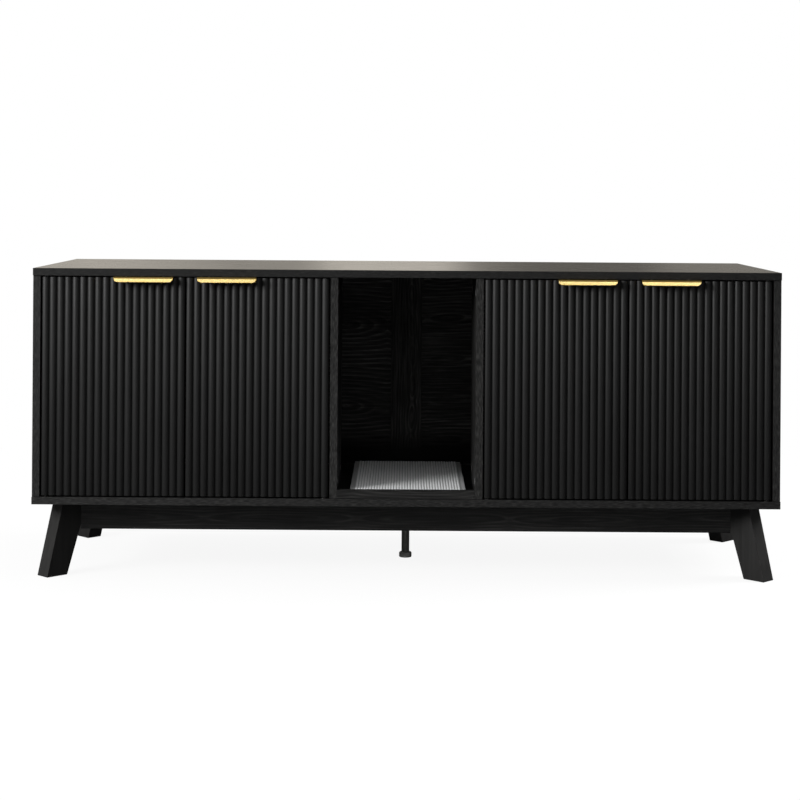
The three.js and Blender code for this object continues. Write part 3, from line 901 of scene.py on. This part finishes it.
# A leg bracket's web stands across the corner, and its flanges lie on the aprons.
WEB_INNER = 163.3 * MM  # from the top panel's corner, in along the diagonal
WEB_HALF = 26 * MM
BRACKET_SHEET = 2.5 * MM
FLANGE_HOLES = ((13 * MM, 11 * MM), (26 * MM, -11 * MM))  # out along the flange, and up
BOLT_RADIUS = 3.9 * MM
BOLT_BEHIND = 26 * MM
BOLT_LENGTH = 39 * MM
THREAD_LEAD = 1.25 * MM
THREAD_ROOT, THREAD_END = 0.88, 0.8  # as shares of the bolt's radius
WASHER = (9 * MM, 1.6 * MM)
NUT_ACROSS_FLATS = 13 * MM
NUT_HEIGHT = 6.5 * MM

BACK_SCREWS = 6
BACK_SCREW_X = 20.75 * MM
BACK_SCREW_FROM_END = 30 * MM
CATCH_SCREW_FROM_END = 11 * MM
SOCKET_SCREW_CIRCLE = 24 * MM
CAM_FROM_END = 38 * MM
CAM_FROM_EDGE = 42 * MM
CAM_CAP = (8.5 * MM, 0.8 * MM)

PULL_SCREW_X = 45 * MM
PULL_SCREW_FROM_BACK = 6 * MM
# Half the width, half the height, and how far the plate is sunk and stands out.
STRIKE_PLATE = (9 * MM, 4 * MM, 0.05 * MM, 0.10 * MM)
MAGNET = (7 * MM, 3.2 * MM, 0.05 * MM, 0.10 * MM)
STRIKE_FROM_MIDDLE = 17 * MM


def screw_template(radius, height):
    """A domed screw head with a cross recess, standing on z = 0."""
    root, rim = -0.3 * height, 0.15 * height
    profile = [(0, root), (radius, root), (radius, rim)]
    for i in range(1, 6):
        angle = RIGHT_ANGLE * i / 6
        rise = (height - rim) * math.sin(angle)
        profile.append((radius * math.cos(angle * 0.9), rim + rise))
    profile.append((0, height))
    head = Shape()
    head.lathe(profile, SMALL_SIDES)
    arm, half, floor = radius * 0.55, radius * 0.13, height * 0.25
    tools = []
    for across, along in ((arm, half), (half, arm)):
        slot = Shape()
        corners = [(-across, -along), (across, -along), (across, along), (-across, along)]
        slot.rings([[(x, y, z) for x, y in corners] for z in (floor, height * 2)])
        tools.append(slot.mesh("slot"))
    return cut(head.mesh("head"), tools)


def nut_template(across_flats, height):
    """A hexagon nut with chamfered corners, standing on z = 0."""
    outer = across_flats / 2 / math.cos(math.pi / 6)
    hexagon = arc(0, 0, outer, 0, 2 * math.pi, 6)[:-1]
    shape = Shape()
    shape.rings([
        [(x * share, y * share, height * level) for x, y in hexagon]
        for share, level in ((0.93, 0), (1, 0.12), (1, 0.88), (0.93, 1))
    ])
    return shape.mesh("nut")


def threaded(shape, place, radius, length):
    """A threaded rod's end, standing on z = 0."""
    profile = [(0, 0)]
    for turn in range(int(length / THREAD_LEAD)):
        start = turn * THREAD_LEAD
        profile += [(radius, start + THREAD_LEAD * 0.1)]
        profile += [(radius * THREAD_ROOT, start + THREAD_LEAD * 0.6)]
    profile += [(radius * THREAD_END, length), (0, length)]
    shape.lathe(profile, THREAD_SIDES, place)


def disc(shape, place, radius, height):
    """A round plate with an eased top edge, standing on z = 0."""
    ease = DISC_EDGE
    shape.lathe([
        (0, -ease), (radius, -ease), (radius, height - ease), (radius - ease, height),
        (0, height),
    ], ROUND_SIDES, place)


def plate(shape, x, z, half_width, half_height, y_low, y_high):
    """A thin plate with clipped corners, flat in Y."""
    clip = half_height * 0.4
    wide, tall = half_width - clip, half_height - clip
    corners = (
        (-wide, -half_height), (wide, -half_height), (half_width, -tall), (half_width, tall),
        (wide, half_height), (-wide, half_height), (-half_width, tall), (-half_width, -tall),
    )
    shape.rings([[(x + right, y, z + up) for right, up in corners] for y in (y_low, y_high)])


def make_corner_fasteners(steel):
    """A hanger bolt with its washer and nut, and four screws, at every leg bracket."""
    low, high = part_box("top_panel")
    bracket_low, bracket_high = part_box("leg_bracket_front_left")
    z = (bracket_low.z + bracket_high.z) / 2
    nut = nut_template(NUT_ACROSS_FLATS, NUT_HEIGHT)
    screw = screw_template(*BRACKET_SCREW)
    inward = Matrix.Rotation(RIGHT_ANGLE, 4, "Y")
    bolts, screws = Shape(), Shape()
    for x, y, turned in (
        (low.x, low.y, 45), (high.x, low.y, 135), (high.x, high.y, 225), (low.x, high.y, 315),
    ):
        corner = Matrix.Translation((x, y, 0)) @ Matrix.Rotation(math.radians(turned), 4, "Z")

        def at(distance):
            return corner @ Matrix.Translation((distance, 0, z)) @ inward

        threaded(bolts, at(WEB_INNER - BOLT_BEHIND), BOLT_RADIUS, BOLT_LENGTH)
        disc(bolts, at(WEB_INNER), *WASHER)
        bolts.add(nut, at(WEB_INNER + WASHER[1]))
        for side in (-1, 1):
            facing = corner.to_3x3() @ Vector((1, -side, 0)).normalized()
            skew = BRACKET_SHEET / math.sqrt(2)
            for run, up in FLANGE_HOLES:
                slant = run / math.sqrt(2)
                place = corner @ Vector((
                    WEB_INNER - BRACKET_SHEET + slant + skew,
                    side * (WEB_HALF + slant - skew),
                    z + up,
                ))
                screws.add(screw, towards(facing, place))
    bolts.piece("bracket_bolts", steel, "carcass", "zinc_steel")
    screws.piece("bracket_screws", steel, "carcass", "zinc_steel")


def make_panel_fasteners(steel, plastic):
    """Screws in the back, the catches and the socket, and caps over the side panels' cams."""
    back = Shape()
    screw = screw_template(*BACK_SCREW)
    low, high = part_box("back_panel_left")
    first, last = low.z + BACK_SCREW_FROM_END, high.z - BACK_SCREW_FROM_END
    for x in (-BACK_SCREW_X, BACK_SCREW_X):
        for i in range(BACK_SCREWS):
            z = first + (last - first) * i / (BACK_SCREWS - 1)
            back.add(screw, towards((0, 1, 0), (x, high.y, z)))
    back.piece("back_screws", steel, "carcass", "zinc_steel")

    under = Shape()
    small = screw_template(*SMALL_SCREW)
    for hand in HALVES:
        low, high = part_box(f"door_catch_{hand}")
        for x in (low.x + CATCH_SCREW_FROM_END, high.x - CATCH_SCREW_FROM_END):
            under.add(small, towards((0, 0, -1), (x, (low.y + high.y) / 2, low.z)))
    low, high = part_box("support_socket")
    middle = (low + high) / 2
    circle = arc(middle.x, middle.y, SOCKET_SCREW_CIRCLE, math.pi / 4, math.pi * 9 / 4, 4)
    for x, y in circle[:-1]:
        under.add(small, towards((0, 0, -1), (x, y, high.z - SOCKET_FLANGE)))
    under.piece("catch_and_socket_screws", steel, "carcass", "zinc_steel")

    caps = Shape()
    for hand, inward in zip(HALVES, (1, -1)):
        low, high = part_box(f"side_panel_{hand}")
        face = high.x if inward > 0 else low.x
        for y in (low.y + CAM_FROM_EDGE, high.y - CAM_FROM_EDGE):
            for z in (low.z + CAM_FROM_END, high.z - CAM_FROM_END):
                disc(caps, towards((inward, 0, 0), (face, y, z)), *CAM_CAP)
    caps.piece("cam_caps", plastic, "carcass", "black_nylon")


def make_door_fasteners(steel):
    """Two flush screws in every pull, a strike plate on every door's back, and the magnets
    in the catches that face them."""
    screw = screw_template(*PULL_SCREW)
    magnets = Shape()
    for place in HINGE_LEFT:
        low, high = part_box(f"pull_{place}")
        shape = Shape()
        for x in (-PULL_SCREW_X, PULL_SCREW_X):
            at = ((low.x + high.x) / 2 + x, high.y - PULL_SCREW_FROM_BACK, high.z)
            shape.add(screw, Matrix.Translation(at))
        door_low, door_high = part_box(f"door_{place}")
        catch_low, catch_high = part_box(f"door_catch_{place.split('_')[1]}")
        middle = (catch_low.x + catch_high.x) / 2
        toward_door = 1 if (door_low.x + door_high.x) / 2 > middle else -1
        x = middle + toward_door * STRIKE_FROM_MIDDLE
        z = (catch_low.z + door_high.z) / 2
        *size, sunk, proud = STRIKE_PLATE
        plate(shape, x, z, *size, door_high.y - sunk, door_high.y + proud)
        *size, sunk, proud = MAGNET
        plate(magnets, x, z, *size, catch_low.y - proud, catch_low.y + sunk)
        shape.piece(f"door_fittings_{place}", steel, f"{place}_door", "zinc_steel")
    magnets.piece("catch_magnets", steel, "carcass", "zinc_steel")


CAM_EDGE = 0.25 * MM
CATCH_EDGE = 0.3 * MM


def dress_rest(steel, plastic, cast):
    for name in NODES:
        if name.startswith("cam_lock"):
            dress(name, cast, CAM_EDGE)
        elif name.startswith("pivot_pin"):
            dress(name, steel)
        elif name.startswith("pivot_bush"):
            dress(name, plastic)
        elif name.startswith("door_catch"):
            dress(name, plastic, CATCH_EDGE)


# ------------------------------------------------------------------ studio

# name: (watts, width and height, place, what it is turned to)
LAMPS = {
    "key": (172, (1.9, 1.6), (-3.75, -2.7, 2.2), (0, 0, 0.4)),
    "fill": (92, (1.0, 1.6), (3.0, 0.15, 2.6), (0.5, 0.15, 0.4)),
}

# What lights the object from all round, by the height that a ray goes to.
AMBIENT_LOW, AMBIENT_HIGH = 0.175, 0.65
AMBIENT_TOP = 0.60

# What metal and gloss mirror, in the world and in the floor. Places are those of the
# ray's direction: X right, Y back and Z up, each from -1 to 1.
WALL = (
    # place across the wall behind, from left (0) to right (1); its brightness
    (0.405, 0.75), (0.418, 0.80), (0.431, 0.72), (0.444, 0.59), (0.457, 0.48), (0.475, 0.48),
    (0.481, 0.90), (0.511, 0.90), (0.519, 0.34), (0.534, 0.19), (0.563, 0.20), (0.571, 0.36),
)
WALL_FROM, WALL_FULL = 0.35, 0.85  # where the wall begins and is full, in Y
WARM = (1.0, 0.93, 0.82)  # the wall's colour
DARK_FRONT = 0.03  # how bright it sees what lies before it
OVERHEAD, OVERHEAD_FROM, OVERHEAD_FULL = 0.15, 0.45, 0.90  # its brightness, and heights

# Two lit strips before the cabinet: their brightness low down and higher up, and where
# they fade in or out, in Y, aside from the middle, and in height.
STRIP_LOW, STRIP_HIGH = 3.6, 0.75
STRIP_Y = (-0.9, -0.5)
STRIP_INNER, STRIP_OUTER = (0.045, 0.075), (0.20, 0.28)
STRIP_BASE, STRIP_MIDDLE, STRIP_TOP = (-0.12, -0.07), (0.0, 0.06), (0.25, 0.50)

FLOOR_RADIUS = 14
FLOOR_DROP = 0.4 * MM  # keeps the floor off the undersides of the legs
FLOOR_TONE = 0.22  # the floor's colour for the light that it sends on
# The share of the camera's view of the floor that no shadow reaches: near the object, and
# rising to all of it between two distances from the middle.
FLOOR_LIFT = 0.91
LIFT_FROM, LIFT_FULL = 1.0, 2.4
FLOOR_FRONT = 0.05  # how bright gloss sees the floor far before the object
FLOOR_BEHIND, FLOOR_BEFORE = (0.3, 1.3), (-1.9, -1.2)  # where that changes, in Y


def make_lamps():
    for name, (watts, size, place, aim) in LAMPS.items():
        data = bpy.data.lights.new(name, "AREA")
        data.shape = "RECTANGLE"
        data.size, data.size_y = size
        data.energy = watts
        lamp = link(name, data)
        lamp.location = place
        lamp.rotation_mode = "QUATERNION"
        lamp.rotation_quaternion = (Vector(aim) - Vector(place)).to_track_quat("-Z", "Y")


def make_world():
    """White for the camera, soft light from all round, and what metal and gloss mirror:
    a wall behind, lit in panels, two low strips in front, and a little from overhead."""
    world = bpy.data.worlds.new("studio")
    bpy.context.scene.world = world
    tree = fresh_tree(world)
    x, y, z = coordinates(tree, "Generated")
    seen, mirrored = ray_kinds(tree)
    wall = y.between(WALL_FROM, WALL_FULL, DARK_FRONT, 1.0)
    wall *= x.mix(0.5, 1.0).ramp(*((place, [level] * 3) for place, level in WALL))
    aside = x.size()
    strips = y.between(*STRIP_Y, 1.0, 0.0)
    strips *= aside.between(*STRIP_INNER) * aside.between(*STRIP_OUTER, 1.0, 0.0)
    strips *= z.between(*STRIP_BASE) * z.between(*STRIP_MIDDLE, STRIP_LOW, STRIP_HIGH)
    strips *= z.between(*STRIP_TOP, 1.0, 0.0)
    overhead = z.between(OVERHEAD_FROM, OVERHEAD_FULL, 0.0, OVERHEAD)
    gloss = (wall + strips + overhead) * mirrored
    ambient = z.between(0.0, AMBIENT_TOP, AMBIENT_LOW, AMBIENT_HIGH)
    soft = ambient * mirrored.mix(1.0, 0.0)
    behind = y.between(-0.1, 0.1) * mirrored
    sky = tree.nodes.new("ShaderNodeBackground")
    feed(tree, sky.inputs["Strength"], seen.most(gloss + soft))
    feed(tree, sky.inputs["Color"], behind.ramp((0.0, (1, 1, 1)), (1.0, WARM)))
    output = tree.nodes.new("ShaderNodeOutputWorld")
    tree.links.new(sky.outputs[0], output.inputs["Surface"])


def make_floor():
    """A white floor that keeps a faint shadow and sends little light back up. Metal and
    gloss see it white behind the object and dark before it."""
    shape = Shape()
    rim = arc(0, 0, FLOOR_RADIUS, 0, 2 * math.pi, 64)[:-1]
    shape.bm.faces.new([shape.bm.verts.new((x, y, 0)) for x, y in rim])
    floor = link("floor", shape.mesh("floor"))
    floor.location.z = -FLOOR_DROP
    material = bpy.data.materials.new("pale_floor")
    tree = fresh_tree(material)
    x, y, _ = coordinates(tree, "Object")
    seen, mirrored = ray_kinds(tree)
    matt = tree.nodes.new("ShaderNodeBsdfDiffuse")
    tone = seen.ramp((0.0, [FLOOR_TONE] * 3), (1.0, (1, 1, 1)))
    feed(tree, matt.inputs["Color"], tone)
    white = tree.nodes.new("ShaderNodeEmission")
    white.inputs["Color"].default_value = (1, 1, 1, 1)
    behind = y.between(*FLOOR_BEHIND, DARK_FRONT, 1.0)
    behind += y.between(*FLOOR_BEFORE, FLOOR_FRONT - DARK_FRONT, 0.0)
    feed(tree, white.inputs["Strength"], seen.most(behind))
    away = (x * x + y * y).root().between(LIFT_FROM, LIFT_FULL, FLOOR_LIFT, 1.0)
    mix = tree.nodes.new("ShaderNodeMixShader")
    feed(tree, mix.inputs[0], (seen * away).most(mirrored))
    tree.links.new(matt.outputs[0], mix.inputs[1])
    tree.links.new(white.outputs[0], mix.inputs[2])
    output = tree.nodes.new("ShaderNodeOutputMaterial")
    tree.links.new(mix.outputs[0], output.inputs["Surface"])
    floor.data.materials.append(material)


# ------------------------------------------------------------------ everything


def build():
    make_camera()
    steel = zinc("zinc_plate")
    cast = zinc("cast_zinc", metallic=0.45, dullness=0.2)
    plastic = nylon("black_nylon", (0.022, 0.022, 0.021))
    grey_plastic = nylon("grey_nylon", (0.45, 0.45, 0.435))
    paint = black_paint("black_door_paint", (0.0105,) * 3, roughness=0.50, level=0.36)
    dress_boards()
    make_doors(paint, gold("brushed_gold"))
    make_pad()
    make_base(painted_leg("black_leg_paint"), steel)
    make_support(dark_steel("dark_rod"), grey_plastic)
    dress_rest(steel, plastic, cast)
    make_corner_fasteners(steel)
    make_panel_fasteners(steel, plastic)
    make_door_fasteners(steel)
    make_lamps()
    make_world()
    make_floor()
    bpy.context.scene.view_settings.view_transform = "Standard"


build()
